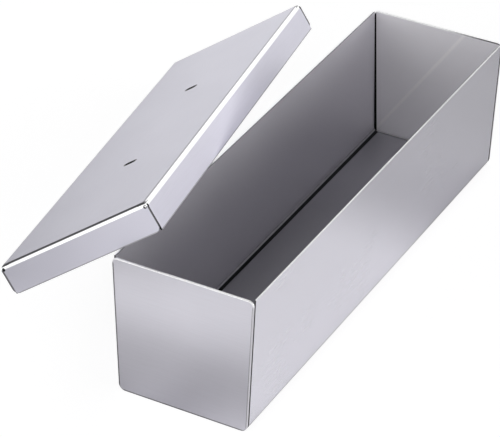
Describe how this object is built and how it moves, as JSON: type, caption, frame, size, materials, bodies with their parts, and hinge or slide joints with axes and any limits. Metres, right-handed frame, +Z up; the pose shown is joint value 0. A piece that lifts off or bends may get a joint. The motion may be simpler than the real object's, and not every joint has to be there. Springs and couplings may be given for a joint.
{
  "type": "pate mould",
  "caption": "Long sheet-steel pate mould with slightly sloping walls, welded end plates and a loose folded lid that leans on its rim.",
  "frame": {"origin": "on the table, at the middle of the mould's flat base", "axes": "+Y along the mould, from its front end plate to its rear one; +X across it, away from the leaning lid; +Z up, out of the open top"},
  "size_m": [0.2117, 0.3234, 0.1092],
  "materials": {
    "steel_sheet": "satin stainless sheet with a fine grain along its length, brighter on its cut edges and bends",
    "weld": "narrow weld set in an open seam, dull and darkened by heat"
  },
  "bodies": {
    "mould": {"trough_sheet": "steel_sheet", "front_end_plate": "steel_sheet", "rear_end_plate": "steel_sheet", "front_seam_weld": "weld", "rear_seam_weld": "weld"},
    "lid": {"lid_sheet": "steel_sheet", "lid_corner_weld_front_left": "weld", "lid_corner_weld_front_right": "weld", "lid_corner_weld_rear_left": "weld", "lid_corner_weld_rear_right": "weld"}
  },
  "joints": [
    {"name": "lid_lift", "type": "slide", "parent": "mould", "child": "lid", "axis": [0, 0, 1], "range_m": [0, 0.12]}
  ]
}
